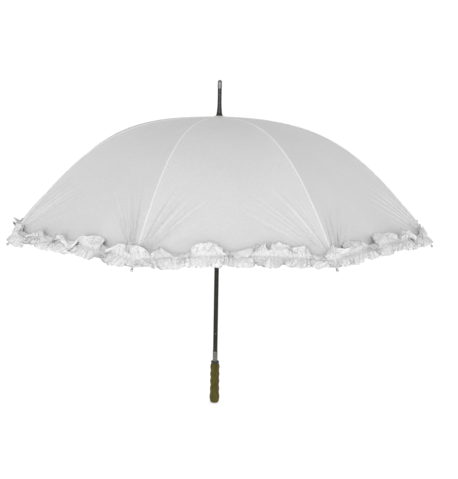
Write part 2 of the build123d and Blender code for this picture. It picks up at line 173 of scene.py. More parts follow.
def gore_turn(gore):
    """Azimuth of a gore's middle; gore 0 follows rib 1."""
    return FIRST_RIB + (2 * gore + 1) * HALF_GORE


def rib_beside(gore, side):
    """Number of the rib at a gore's first (side 1) or second (side -1) edge."""
    return gore + 1 if side == 1 else (gore + 1) % RIBS + 1


def curve(t):
    """Radius and height of the cloth over a rib, t from 0 at the apex to 1 at the tip."""
    t = np.asarray(t, float)
    weights = ((1 - t) ** 3, 3 * t * (1 - t) ** 2, 3 * t * t * (1 - t), t**3)
    r = sum(w * p[0] for w, p in zip(weights, CURVE)) * RIM
    z = sum(w * p[1] for w, p in zip(weights, CURVE)) * RIM + APEX
    return r, z


def curve_normal(t):
    """Outward normal of the curve in the rib's plane, as (radial, up)."""
    r0, z0 = curve(t - 1e-4)
    r1, z1 = curve(t + 1e-4)
    dr, dz = r1 - r0, z1 - z0
    length = np.hypot(dr, dz)
    return -dz / length, dr / length


def fan(distance, angle, seed, pull=1.0):
    """Fine tension wrinkles that fan out from a rib tip. angle is from the rib, towards the gore."""
    waves = noise(angle * WAVE_RATES[0], seed) + 0.8 * noise(angle * WAVE_RATES[1], seed + 5)
    ridges = 1 - np.abs(noise(angle * RIDGE_RATE, seed + 9)) ** 0.6
    spread = ease(angle / FAN_EDGE) * (1 - ease((angle - FAN_OPENING) / FAN_FADE))
    reach = 2.1 * (distance / 0.2) ** 0.7 * bell(distance / FAN_REACH)
    reach = reach * (1 + (pull - 1) * bell(angle / HARD_PULL_ANGLE) * bell(distance / HARD_PULL_REACH))
    strength = 1 + 1.7 * bell(angle / 0.26)
    return (WAVE_HEIGHT * waves + RIDGE_HEIGHT * ridges) * strength * spread * reach


def gore_lift(gore, u, t, across):
    """How far the cloth of a gore stands off the flat between its ribs."""
    middle = 1 - u * u
    lift = -GORE_SAG * middle * np.sin(np.pi * np.clip(t, 0, 1)) ** 0.8 * ease((t - 0.025) / 0.08)
    swell = noise2(u * SWELLS_ACROSS + gore * 9.1, t * SWELLS_DOWN + gore, 11 + gore)
    lift += SWELL_HEIGHT * swell * middle * ease(t / 0.3)
    lift += CREASE_HEIGHT * bell(u / CREASE_WIDTH) * ease((t - 0.12) / 0.1) * (1 - ease((t - 0.62) / 0.2))
    tip_across = RIM * math.sin(HALF_GORE)
    above_hem = (1 - t) * RIM_SLOPE_LENGTH
    held = HELD_SHARE + (1 - HELD_SHARE) * ease((above_hem - HELD_FROM) / HELD_FADE)
    for side in (-1, 1):
        from_rib = tip_across - side * across
        angle = np.arctan2(from_rib - FAN_LEAN * above_hem, above_hem + 1e-6)
        distance = np.hypot(from_rib, above_hem)
        pull = HARD_PULL if (gore, side) in HARD_PULLED else 1.0
        lift += fan(distance, angle, 31 + gore * 2 + side, pull) * held * middle**0.15
    from_stitch = np.abs(STITCH - t) * RIM_SLOPE_LENGTH
    pucker = noise(across / PUCKER_STEP + gore * 61, 71)
    lift += PUCKER_HEIGHT * pucker * np.exp(-from_stitch / PUCKER_REACH) * middle**0.2
    return lift


def gore_point(gore, u, t):
    """Cloth of gore number gore, u from -1 at its first rib to 1 at its next, t down the curve."""
    r, z = curve(t)
    nr, nz = curve_normal(t)
    across = u * r * math.sin(HALF_GORE)
    lift = gore_lift(gore, u, t, across)
    out = (r + lift * nr) * math.cos(HALF_GORE)
    rise = HEM_SAG * (1 - u * u) * ease((t - 0.55) / 0.45) ** 2
    turn = gore_turn(gore)
    px = out * math.cos(turn) - across * math.sin(turn)
    py = out * math.sin(turn) + across * math.cos(turn)
    return np.stack([px, py, z + lift * nz + rise], axis=-1)


def surface_normals(points):
    """Unit normals of a grid of points [row, column, xyz], pointing away from the canopy's inside."""
    down = np.gradient(points, axis=0)
    across = np.gradient(points, axis=1)
    n = np.cross(down, across)
    n /= np.linalg.norm(n, axis=-1, keepdims=True) + 1e-12
    return n


# ---- Mesh helpers --------------------------------------------------------------------------------

def make_object(name, vertices, faces, normals=None, uv=None):
    """Smooth-shaded object from points and faces, with optional point normals and cloth coordinates."""
    mesh = bpy.data.meshes.new(name)
    mesh.from_pydata([tuple(v) for v in vertices], [], [tuple(f) for f in faces])
    mesh.validate()
    mesh.polygons.foreach_set("use_smooth", [True] * len(mesh.polygons))
    if uv is not None:
        layer = mesh.uv_layers.new(name="cloth")
        loops = np.zeros(len(mesh.loops), np.int32)
        mesh.loops.foreach_get("vertex_index", loops)
        layer.data.foreach_set("uv", np.asarray(uv, np.float32)[loops].ravel())
    if normals is not None:
        mesh.normals_split_custom_set_from_vertices([tuple(n) for n in normals])
    obj = bpy.data.objects.new(name, mesh)
    bpy.context.scene.collection.objects.link(obj)
    return obj


def grid_faces(rows, columns, start=0, flip=False):
    """Quads of a grid of points numbered row by row."""
    i = np.arange(rows - 1)[:, None] * columns + np.arange(columns - 1)[None, :] + start
    quads = np.stack([i, i + columns, i + columns + 1, i + 1], axis=-1).reshape(-1, 4)
    return quads[:, ::-1] if flip else quads


def shell(name, points, normals, uv, thickness=CLOTH):
    """Closed thin shell: the given grid outside, a copy inset by thickness, joined round the edge."""
    rows, columns = points.shape[:2]
    outer = points.reshape(-1, 3)
    n = normals.reshape(-1, 3)
    inner = outer - n * np.broadcast_to(np.asarray(thickness), (rows, columns)).reshape(-1, 1)
    count = rows * columns
    faces = [grid_faces(rows, columns), grid_faces(rows, columns, count, flip=True)]
    rim = np.concatenate([
        np.arange(columns),
        np.arange(1, rows) * columns + columns - 1,
        (rows - 1) * columns + np.arange(columns - 2, -1, -1),
        np.arange(rows - 2, 0, -1) * columns,
    ])
    after = np.roll(rim, -1)
    faces.append(np.stack([rim, after, after + count, rim + count], axis=-1))
    both_uv = np.concatenate([uv.reshape(-1, 2)] * 2)
    vertices = np.concatenate([outer, inner])
    return make_object(name, vertices, np.concatenate(faces), np.concatenate([n, -n]), both_uv)


# ---- Materials -----------------------------------------------------------------------------------

class Nodes:
    """Small helper to build a node material line by line."""

    def __init__(self, name):
        self.material = bpy.data.materials.new(name)
        self.material.use_nodes = True
        self.tree = self.material.node_tree
        self.shader = self.tree.nodes["Principled BSDF"]

    def new(self, kind, inputs=None, **settings):
        node = self.tree.nodes.new(kind)
        for key, value in settings.items():
            setattr(node, key, value)
        for key, value in (inputs or {}).items():
            socket = node.inputs[key]
            if isinstance(value, bpy.types.NodeSocket):
                self.tree.links.new(value, socket)
            else:
                socket.default_value = value
        return node

    def link(self, output, target):
        self.tree.links.new(output, self.shader.inputs[target])

    def set(self, **values):
        for key, value in values.items():
            self.shader.inputs[key.replace("_", " ")].default_value = value

    def math(self, operation, a, b=0.0):
        return self.new("ShaderNodeMath", {0: a, 1: b}, operation=operation).outputs[0]

    def place(self, scale=(1, 1, 1)):
        coordinates = self.new("ShaderNodeTexCoord").outputs["Object"]
        return self.new("ShaderNodeMapping", {"Vector": coordinates, "Scale": scale}).outputs[0]

    def noise(self, vector, scale, detail=3.0, roughness=0.55):
        inputs = {"Vector": vector, "Scale": scale, "Detail": detail, "Roughness": roughness}
        return self.new("ShaderNodeTexNoise", inputs).outputs["Fac"]

    def ramp(self, factor, *stops):
        node = self.new("ShaderNodeValToRGB", {"Fac": factor})
        elements = node.color_ramp.elements
        while len(elements) < len(stops):
            elements.new(0.5)
        for element, (position, colour) in zip(elements, stops):
            element.position = position
            element.color = (*colour, 1)
        return node.outputs["Color"]

    def mix(self, factor, a, b, blend="MIX"):
        node = self.new("ShaderNodeMix", data_type="RGBA", blend_type=blend)
        for key, value in ((0, factor), (6, a), (7, b)):
            if isinstance(value, bpy.types.NodeSocket):
                self.tree.links.new(value, node.inputs[key])
            else:
                node.inputs[key].default_value = (*value, 1) if isinstance(value, tuple) else value
        return node.outputs[2]

    def bump(self, height, distance, strength=1.0):
        node = self.new("ShaderNodeBump", {"Height": height, "Distance": distance, "Strength": strength})
        self.link(node.outputs[0], "Normal")


def cloth_material(name, bright, shade, thread=0.00045):
    """Plain weave: threads both ways in the cloth's own coordinates, soft blotches and a light sheen."""
    m = Nodes(name)
    uv = m.new("ShaderNodeUVMap", uv_map="cloth").outputs[0]
    split = m.new("ShaderNodeSeparateXYZ", {0: uv})
    turns = 2 * math.pi / thread
    warp = m.math("SINE", m.math("MULTIPLY", split.outputs[0], turns))
    weft = m.math("SINE", m.math("MULTIPLY", split.outputs[1], turns))
    weave = m.math("MULTIPLY", warp, weft)
    slub = m.noise(uv, 900.0, 2.0)
    blotch = m.noise(m.place(), 7.0, 4.0)
    fine = m.noise(m.place(), 160.0, 3.0)
    colour = m.ramp(blotch, (0.3, shade), (0.7, bright))
    colour = m.mix(0.10, colour, m.ramp(fine, (0.35, (0.62, 0.62, 0.62)), (0.65, (0.95, 0.95, 0.95))))
    colour = m.mix(0.06, colour, m.ramp(weave, (0.2, (0.5, 0.5, 0.5)), (0.8, (1.0, 1.0, 1.0))), "MULTIPLY")
    m.link(colour, "Base Color")
    m.set(Roughness=0.8, Sheen_Weight=0.25, Sheen_Roughness=0.5, Specular_IOR_Level=0.25)
    height = m.math("ADD", m.math("MULTIPLY", weave, 0.5), slub)
    m.bump(height, 0.00008, 0.5)
    return m.material


def metal_material(name, dark, light, roughness, metallic, grain, speck=0.0, gloss=0.5):
    """Drawn or painted metal: streaks along the grain, pale speckles (dense on the collar, where they are a
    painted reflection), roughness that varies.
    """
    m = Nodes(name)
    streak = m.noise(m.place(grain), 1.0, 5.0, 0.65)
    cloud = m.noise(m.place(), 90.0, 4.0)
    both = m.math("ADD", m.math("MULTIPLY", streak, 0.6), m.math("MULTIPLY", cloud, 0.4))
    colour = m.ramp(both, (0.35, dark), (0.65, light))
    # pale speckles; at the collar's strength they are a painted reflection
    if speck:
        speck_pattern = m.noise(m.place(), 520.0, 5.0, 0.7)
        mask = m.ramp(speck_pattern, (0.5, (0, 0, 0)), (0.62, (1, 1, 1)))
        speck_colour = tuple(min(1.0, c * 2.4 + 0.12) for c in light)
        colour = m.mix(m.math("MULTIPLY", mask, speck), colour, speck_colour)
    m.link(colour, "Base Color")
    rough = m.math("ADD", m.math("MULTIPLY", streak, 0.22), roughness - 0.11)
    m.link(rough, "Roughness")
    m.set(Metallic=metallic, Specular_IOR_Level=gloss)
    m.bump(streak, 0.00004, 0.6)
    return m.material


FERRULE_HIGHLIGHT = 0.0251                  # length of the ferrule's end that is painted lighter, a painted highlight


def ferrule_material():
    """Gunmetal spike whose top end is painted lighter, a painted highlight; the change is by height."""
    m = Nodes("ferrule_metal")
    height = m.new("ShaderNodeSeparateXYZ", {0: m.place()}).outputs[2]
    highlight_band = m.math("GREATER_THAN", height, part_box("ferrule")[1].z - FERRULE_HIGHLIGHT)
    cloud = m.noise(m.place((80, 80, 300)), 1.0, 5.0, 0.65)
    spike = m.ramp(cloud, (0.35, (0.030, 0.030, 0.028)), (0.7, (0.095, 0.095, 0.09)))
    # painted highlight colour of the ferrule's top end
    end = m.ramp(cloud, (0.35, (0.13, 0.13, 0.125)), (0.7, (0.34, 0.34, 0.33)))
    m.link(m.mix(highlight_band, spike, end), "Base Color")
    m.link(m.math("ADD", m.math("MULTIPLY", cloud, 0.25), 0.22), "Roughness")
    m.set(Metallic=0.85)
    m.bump(cloud, 0.00004, 0.5)
    return m.material


def wood_material():
    """Olive-brown lacquered wood: long grain, slow changes of tone, fine pores."""
    m = Nodes("handle_wood")
    warp = m.noise(m.place((8, 8, 3)), 4.0, 2.0)
    grain = m.noise(m.place((150, 150, 9)), 2.4, 8.0, 0.62)
    pores = m.noise(m.place((900, 900, 60)), 1.0, 3.0, 0.7)
    dark, brown, light = (0.027, 0.0225, 0.003), (0.081, 0.068, 0.008), (0.140, 0.121, 0.018)
    colour = m.ramp(grain, (0.28, dark), (0.5, brown), (0.72, light))
    tone = m.ramp(warp, (0.3, (0.056, 0.048, 0.006)), (0.7, (0.106, 0.092, 0.013)))
    colour = m.mix(0.35, colour, tone)
    pore_mask = m.ramp(pores, (0.30, (0.35, 0.35, 0.35)), (0.42, (1, 1, 1)))
    colour = m.mix(0.7, colour, pore_mask, "MULTIPLY")
    m.link(colour, "Base Color")
    m.link(m.math("ADD", m.math("MULTIPLY", grain, 0.2), 0.25), "Roughness")
    m.set(Coat_Weight=0.03, Coat_Roughness=0.25, Specular_IOR_Level=0.15)
    m.bump(m.math("ADD", pores, grain), 0.00012, 0.6)
    return m.material


def plastic_material(name):
    """Black moulded plastic with a fine grain and rubbed paler patches."""
    m = Nodes(name)
    grain = m.noise(m.place(), 1600.0, 2.0)
    cloud = m.noise(m.place(), 60.0, 4.0)
    m.link(m.ramp(cloud, (0.35, (0.016, 0.016, 0.017)), (0.7, (0.040, 0.040, 0.042))), "Base Color")
    m.link(m.math("ADD", m.math("MULTIPLY", cloud, 0.25), 0.38), "Roughness")
    m.bump(grain, 0.00005, 0.6)
    return m.material


CANOPY = cloth_material("canopy_cloth", (0.80, 0.80, 0.80), (0.765, 0.765, 0.765))
FRILL = cloth_material("frill_cloth", (0.815, 0.815, 0.815), (0.775, 0.775, 0.775))
SEAM = cloth_material("seam_cloth", (0.95, 0.95, 0.95), (0.90, 0.90, 0.90))


# ---- Canopy pieces -------------------------------------------------------------------------------


def fold(piece):
    """Give a half gore's piece a mesh of its own."""
    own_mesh(piece)


def with_underlap(u, t, gore, points, normals):
    """Add rows to an inner part that run on under the outer part, so that no gap opens there when shut."""
    reach = UNDERLAP_AT_RIB + (UNDERLAP - UNDERLAP_AT_RIB) * (1 - np.abs(u))
    steps = np.array(UNDERLAP_STEPS)[:, None]
    below_t = FLEX + steps * reach[None, :] / FLEX_SLOPE_LENGTH
    below = gore_point(gore, np.broadcast_to(u, below_t.shape), below_t)
    extended = np.concatenate([points[-1:], below])
    below_normals = surface_normals(extended)[1:]
    below = below - below_normals * UNDERLAP_DEPTH
    return (
        np.concatenate([t, below_t]),
        np.concatenate([points, below]),
        np.concatenate([normals, below_normals]),
    )


def make_canopy():
    """Every gore as four pieces: inner and outer part, each split down its middle between its two ribs."""
    outer_rows = np.linspace(FLEX, 1.0, GORE_ROWS_OUTER)
    inner_rows = np.linspace(CLOTH_START, FLEX, GORE_ROWS_INNER)
    even = np.linspace(-1, 1, 2 * GORE_COLUMNS + 1)
    u = np.sign(even) * (1 - (1 - np.abs(even)) ** COLUMN_CROWDING)
    halves = ((1, "b", slice(0, GORE_COLUMNS + 1)), (-1, "a", slice(GORE_COLUMNS, 2 * GORE_COLUMNS + 1)))
    for gore in range(RIBS):
        for part, rows in (("inner", inner_rows), ("outer", outer_rows)):
            step = rows[1] - rows[0]
            uu, tt = np.meshgrid(u, np.concatenate([[rows[0] - step], rows, [rows[-1] + step]]))
            points = gore_point(gore, uu, tt)
            t, points, normals = tt[1:-1], points[1:-1], surface_normals(points)[1:-1]
            if part == "inner":
                t, points, normals = with_underlap(u, t, gore, points, normals)
            r, _ = curve(t)
            uv = np.stack([u[None, :] * r * math.sin(HALF_GORE), t * CLOTH_SCALE], axis=-1)
            for side, letter, half in halves:
                k = rib_beside(gore, side)
                name = f"canopy_{part}_{k}{letter}"
                piece = shell(name, points[:, half], normals[:, half], uv[:, half])
                piece.data.materials.append(CANOPY)
                fold(piece)
                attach(piece, f"rib_{part}_{k}")
                if part == "inner" and side == 1:
                    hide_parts(f"canopy_panel_{k}")


# ---- Frill: a gathered strip sewn along its middle, draped by cloth simulation -------------------

GORE_EDGE = 2 * RIM * math.sin(HALF_GORE)
CORNER = 0.035                        # length over which the frill turns round a rib
FULLNESS = 1.75                       # metres of strip for each metre of hem
STRIP_STEP = 0.0029                   # spacing of the simulated points
STRIP_SCALE = 10.0                    # the strip is simulated enlarged, where the solver is steadier
STRIP_FRAMES = 36
STRIP_LIFT = 0.0012                   # stitch line off the canopy's face
HEADING = 0.0065                      # the gathers are held this far each side of the stitch line
HEADING_LEAN = 0.32                   # angle of the held gathers off the canopy, in radians
RIB_SHORT = 0.62                      # share of its height that the lower half keeps at the rib tips
PLEATS = 40                           # in each strip, on average
FLOP_WIDTH = 0.055                    # in strip lengths


def bumps(s, centres, width):
    """Smooth hump of height 1 at each centre."""
    return sum(np.exp(-(((s - c) / width) ** 2)) for c in centres)


def strip_places():
    """Grid of the flat strip: place along the hem 0..1, and height above the stitch line."""
    columns = int(round(GORE_EDGE * FULLNESS / STRIP_STEP)) + 1
    upper = np.linspace(FRILL_UP, 0, int(round(FRILL_UP / STRIP_STEP)) + 1)
    lower = np.linspace(0, -FRILL_DOWN, int(round(FRILL_DOWN / STRIP_STEP)) + 1)[1:]
    s, height = np.meshgrid(np.linspace(0, 1, columns), np.concatenate([upper, lower]))
    short = RIB_SHORT + (1 - RIB_SHORT) * ease(np.minimum(s, 1 - s) / 0.10)
    return s, np.where(height < 0, height * short, height)


def gathered_start(s, height, seed, flops):
    """Roughly pleated strip that the simulation starts from; its upper edge leans out at the flops."""
    ends = ease(np.minimum(s, 1 - s) / 0.012)
    row = s[0]
    rate = PLEATS + 14 * noise(row * 13, seed + 3) + 8 * noise(row * 31, seed + 4)
    turns = np.concatenate([[0], np.cumsum((rate[1:] + rate[:-1]) / 2 * np.diff(row))])
    phase = 2 * np.pi * np.broadcast_to(turns, s.shape)
    upper = 7 + 110 * bumps(s, flops, FLOP_WIDTH) + 12 * noise(s * 9.1, seed + 22)
    lower = 14 + 24 * noise(s * 4.9, seed + 23) + 12 * noise(s * 11.1, seed + 24)
    lean = np.radians(np.where(height > 0, upper, lower)) * ends + np.radians(16) * (1 - ends)
    away = np.abs(height)
    near = np.minimum(away, HEADING)
    far = away - near
    near_lean = np.where(height > 0, HEADING_LEAN, 0.5 * HEADING_LEAN) * ends
    pleat = (0.0010 + 0.0024 * ease(away / 0.012)) * ends
    off = STRIP_LIFT + near * np.sin(near_lean) + far * np.sin(lean) + pleat * (1 + np.sin(phase))
    along = (near * np.cos(near_lean) + far * np.cos(lean)) * np.sign(height)
    along += 0.0011 * noise(s * 70, seed + 40) * ends
    x = s * GORE_EDGE + 0.33 * away * noise(s * 7, seed + 31) * ends + 0.25 * pleat * np.sin(2 * phase)
    out, up = curve_normal(STITCH)
    return np.stack([x, off * out - along * up, off * up + along * out], axis=-1)


def canopy_under_strip():
    """Plain slope that the frill rests on while it is simulated."""
    out, up = curve_normal(STITCH)
    corners = []
    for down in (-2 * FRILL_UP, STITCH_ABOVE_HEM - 0.001):
        for x in (-0.05, GORE_EDGE + 0.05):
            corners.append((x * STRIP_SCALE, down * up * STRIP_SCALE, -down * out * STRIP_SCALE))
    slope = make_object("strip_rest", corners, [(0, 1, 3, 2)])
    slope.modifiers.new("collision", "COLLISION")
    slope.collision.thickness_outer = 0.01
    slope.collision.cloth_friction = 8
    return slope


def drape(flat, start, pinned):
    """Let the strip settle from its start, held at the pinned points, and return where its points end."""
    rows, columns = flat.shape[:2]
    strip = make_object("strip", flat.reshape(-1, 3) * STRIP_SCALE, grid_faces(rows, columns))
    slope = canopy_under_strip()
    strip.shape_key_add(name="flat")
    gathered = strip.shape_key_add(name="gathered")
    gathered.data.foreach_set("co", (start * STRIP_SCALE).ravel())
    gathered.value = 1.0
    strip.vertex_groups.new(name="stitches").add(np.flatnonzero(pinned.ravel()).tolist(), 1.0, "REPLACE")
    cloth = strip.modifiers.new("cloth", "CLOTH")
    fabric = cloth.settings
    fabric.quality = 6
    fabric.mass = 0.15
    fabric.tension_stiffness = 15
    fabric.compression_stiffness = 10
    fabric.shear_stiffness = 3
    fabric.bending_stiffness = 0.8
    fabric.tension_damping = 8
    fabric.compression_damping = 8
    fabric.shear_damping = 5
    fabric.air_damping = 3
    fabric.vertex_group_mass = "stitches"
    fabric.rest_shape_key = strip.data.shape_keys.key_blocks["flat"]
    contact = cloth.collision_settings
    contact.distance_min = 0.01
    contact.use_self_collision = True
    contact.self_distance_min = 0.006
    cloth.point_cache.frame_start = 1
    cloth.point_cache.frame_end = STRIP_FRAMES + 1
    for step in range(1, STRIP_FRAMES + 1):
        bpy.context.scene.frame_set(step)
    settled = strip.evaluated_get(bpy.context.evaluated_depsgraph_get())
    points = np.zeros(rows * columns * 3)
    settled.data.vertices.foreach_get("co", points)
    for obj in (strip, slope):
        bpy.data.objects.remove(obj)
    bpy.context.scene.frame_set(1)
    return points.reshape(rows, columns, 3) / STRIP_SCALE


def halve_steps(grid):
    """Twice as many rows, each new one on the smooth curve through its neighbours."""
    padded = np.concatenate([2 * grid[:1] - grid[1:2], grid, 2 * grid[-1:] - grid[-2:-1]])
    between = (9 * (padded[1:-2] + padded[2:-1]) - padded[:-3] - padded[3:]) / 16
    out = np.empty((2 * len(grid) - 1, *grid.shape[1:]))
    out[::2] = grid
    out[1::2] = between
    return out


def refine(grid):
    """Twice as many rows and columns."""
    return halve_steps(halve_steps(grid).swapaxes(0, 1)).swapaxes(0, 1)


def draped_strip(seed, flops):
    """One gore's length of frill, straight: points (along the hem, outward, up) from its stitch line."""
    s, height = strip_places()
    flat = np.stack([s * GORE_EDGE * FULLNESS, np.zeros_like(s), height], axis=-1)
    pinned = (np.abs(height) < HEADING) | (s < 1e-9) | (s > 1 - 1e-9)
    return refine(drape(flat, gathered_start(s, height, seed, flops), pinned))


def sew_on(gore, strip):
    """Bend a straight strip (along the hem, outward, up) round one gore's hem."""
    u = 2 * strip[..., 0] / GORE_EDGE - 1
    columns = strip.shape[1]
    line = gore_point(gore, np.linspace(-1, 1, columns), np.full(columns, STITCH))
    place = np.linspace(-1, 1, columns)[None, :]
    edge = (1 - np.abs(place)) * GORE_EDGE / 2
    corner = HALF_GORE * (1 - ease(edge / CORNER)) * np.sign(place)
    sideways = (u - place) * GORE_EDGE / 2
    out = strip[..., 1] * np.cos(corner) - sideways * np.sin(corner)
    across = strip[..., 1] * np.sin(corner) + sideways * np.cos(corner)
    turn = gore_turn(gore)
    px = line[None, :, 0] + out * math.cos(turn) - across * math.sin(turn)
    py = line[None, :, 1] + out * math.sin(turn) + across * math.cos(turn)
    return np.stack([px, py, line[None, :, 2] + strip[..., 2]], axis=-1)


def pressed(strip, share):
    """Lay a strip flatter, keeping share of its stand-off, and shorten its upper half."""
    out, up = curve_normal(STITCH)
    off = strip[..., 1] * out + strip[..., 2] * up
    along = strip[..., 2] * out - strip[..., 1] * up
    s = np.clip(strip[..., 0] / GORE_EDGE, 0, 1)
    inside = ease(np.minimum(s, 1 - s) / 0.035)
    off = off * (1 - (1 - share) * inside * ease(np.abs(along) / HEADING))
    along = np.where(along > 0, along * (1 - 0.5 * (1 - share) * inside), along)
    return np.stack([strip[..., 0], off * out - along * up, off * up + along * out], axis=-1)


# where the upper edge flops outward along the hem, for the four strips that the gores share
FLOPS = {
    "front": (0.22, 0.47, 0.69, 0.94),
    "left": (0.17, 0.37, 0.56, 0.83),
    "right": (0.08, 0.33, 0.61, 0.80),
    "calm": (0.70,),
}
PRESSED = {3: 0.28, 7: 0.50}          # the frill lies flatter on these gores
STRIP_OF_GORE = ("front", "right", "left", "calm", "left", "front", "right", "calm")
MIRRORED = (True, False, True, False, False, False, False, True)
EDGE_ROLL = 0.0006                    # extra thickness of the rolled edges


def make_frill():
    """Four draped strips, shared by the gores and split down each gore's middle between its two ribs."""
    strips = {name: draped_strip(seed, flops) for seed, (name, flops) in enumerate(FLOPS.items(), 1)}
    gores = []
    for gore in range(RIBS):
        strip = strips[STRIP_OF_GORE[gore]]
        if MIRRORED[gore]:
            strip = strip[:, ::-1] * (-1, 1, 1) + (GORE_EDGE, 0, 0)
        if gore in PRESSED:
            strip = pressed(strip, PRESSED[gore])
        gores.append(sew_on(gore, strip))
    rows, columns = gores[0].shape[:2]
    half = columns // 2
    height = np.linspace(0, FRILL_UP + FRILL_DOWN, rows)[:, None]
    uv = np.stack(np.broadcast_arrays(np.linspace(0, GORE_EDGE * FULLNESS, columns), height), axis=-1)
    from_edge = np.minimum(height, FRILL_UP + FRILL_DOWN - height)
    thick = np.broadcast_to(CLOTH + EDGE_ROLL * (1 - ease((from_edge - 0.002) / 0.001)), (rows, columns))
    for gore, points in enumerate(gores):
        before = gores[gore - 1][:, -2:-1]
        after = gores[(gore + 1) % RIBS][:, 1:2]
        normals = surface_normals(np.concatenate([before, points, after], axis=1))[:, 1:-1]
        for side, letter, part in ((1, "b", slice(0, half + 1)), (-1, "a", slice(half, columns))):
            k = rib_beside(gore, side)
            name = f"ruffle_{k}{letter}"
            piece = shell(name, points[:, part], normals[:, part], uv[:, part], thick[:, part])
            piece.data.materials.append(FRILL)
            fold(piece)
            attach(piece, f"rib_outer_{k}")
            if side == 1:
                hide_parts(f"frill_{k}")


# ---- Facings: strips under the seams, which close the cloth round the shaft when it is shut ------

CLOSED_RADII = {"inner": (0.018, 0.044), "outer": (0.044, 0.0515)}   # cloth to axis, shut, at each end
FACING = 0.0003                       # thickness
FACING_DEPTH = 0.0011                 # beneath the canopy
WRINKLE_DEPTH = 0.0035                # further in where the cloth above is wrinkled
FACING_ROWS = {"inner": np.linspace(0.05, FLEX + 0.006, 50), "outer": np.linspace(FLEX + 0.002, 0.985, 80)}


def facing_half_width(part, t):
    """Half width at which neighbouring facings just meet when the ribs lie along the shaft."""
    start, end = (0.0, FLEX) if part == "inner" else (FLEX, 1.0)
    (r0, z0), (r1, z1), (r, z) = curve(start), curve(end), curve(t)
    chord = math.hypot(r1 - r0, z1 - z0)
    along = ((r - r0) * (r1 - r0) + (z - z0) * (z1 - z0)) / chord**2
    above = ((r - r0) * (z0 - z1) + (z - z0) * (r1 - r0)) / chord
    near, far = CLOSED_RADII[part]
    meeting = (near + (far - near) * along + above) * math.tan(HALF_GORE)
    return np.minimum(meeting, 0.85 * r * math.tan(HALF_GORE))


def make_facings():
    """One facing along each part of each rib."""
    share = np.linspace(0, 1, 7)
    for part, t in FACING_ROWS.items():
        r, _ = curve(t)
        across = (facing_half_width(part, t) / math.cos(HALF_GORE))[:, None] * share[None, :]
        u = 1 - across / (r[:, None] * math.sin(HALF_GORE))
        tt = np.broadcast_to(t[:, None], u.shape)
        sideways = np.concatenate([-across[:, :0:-1], across], axis=1)
        uv = np.stack([sideways, np.broadcast_to(t[:, None] * CLOTH_SCALE, sideways.shape)], axis=-1)
        depth = FACING_DEPTH + WRINKLE_DEPTH * ease((t - 0.68) / 0.12)[:, None, None]
        for k in range(1, RIBS + 1):
            after = gore_point(k - 1, -u, tt)
            before = gore_point((k - 2) % RIBS, u, tt)[:, :0:-1]
            points = np.concatenate([before, after], axis=1)
            normals = surface_normals(points)
            piece = shell(f"facing_{part}_{k}", points - normals * depth, normals, uv, FACING)
            piece.data.materials.append(CANOPY)
            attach(piece, f"rib_{part}_{k}")


# ---- Seams over the ribs -------------------------------------------------------------------------

SEAM_HALF_WIDTH = 0.0026
SEAM_LIFT = 0.00055                   # seam's edge above the cloth
SEAM_CROWN = 0.0009                   # and its middle above its edge
SEAM_THICKNESS = 0.0008
SEAM_END = 0.012                      # runs on past the stitch line, in units of curve place


def seam_strip(name, k, t0, t1, rows):
    """Raised seam along a rib: a low rounded strip on the cloth."""
    turn = rib_turn(k)
    t = np.linspace(t0, t1, rows)
    r, z = curve(t)
    nr, nz = curve_normal(t)
    profile = np.linspace(-1, 1, 9)
    height = SEAM_LIFT + SEAM_CROWN * np.cos(profile * np.pi / 2) ** 0.7
    sunk = -np.abs(profile) * SEAM_HALF_WIDTH * math.tan(HALF_GORE) * 0.9
    lift = (height + sunk)[None, :] + 0.00025 * noise(t * 260, 5 + k)[:, None]
    out = r[:, None] + lift * nr[:, None]
    up = z[:, None] + lift * nz[:, None]
    across = np.broadcast_to(profile * SEAM_HALF_WIDTH, out.shape) + 0.0003 * noise(t * 60, 50 + k)[:, None]
    px = out * math.cos(turn) - across * math.sin(turn)
    py = out * math.sin(turn) + across * math.cos(turn)
    points = np.stack([px, py, up], axis=-1)
    normals = surface_normals(points)
    uv = np.stack([across, np.broadcast_to(t[:, None] * CLOTH_SCALE, across.shape)], axis=-1)
    piece = shell(name, points, normals, uv, SEAM_THICKNESS)
    piece.data.materials.append(SEAM)
    return piece


def make_seams():
    """A seam over each part of each rib, down to the frill's stitch line."""
    for k in range(1, RIBS + 1):
        inner = seam_strip(f"seam_inner_{k}", k, CLOTH_START + 0.004, FLEX, 120)
        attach(inner, f"rib_inner_{k}")
        outer = seam_strip(f"seam_outer_{k}", k, FLEX, STITCH + SEAM_END, 160)
        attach(outer, f"rib_outer_{k}")


# ---- Finishes of the CAD pieces ------------------------------------------------------------------

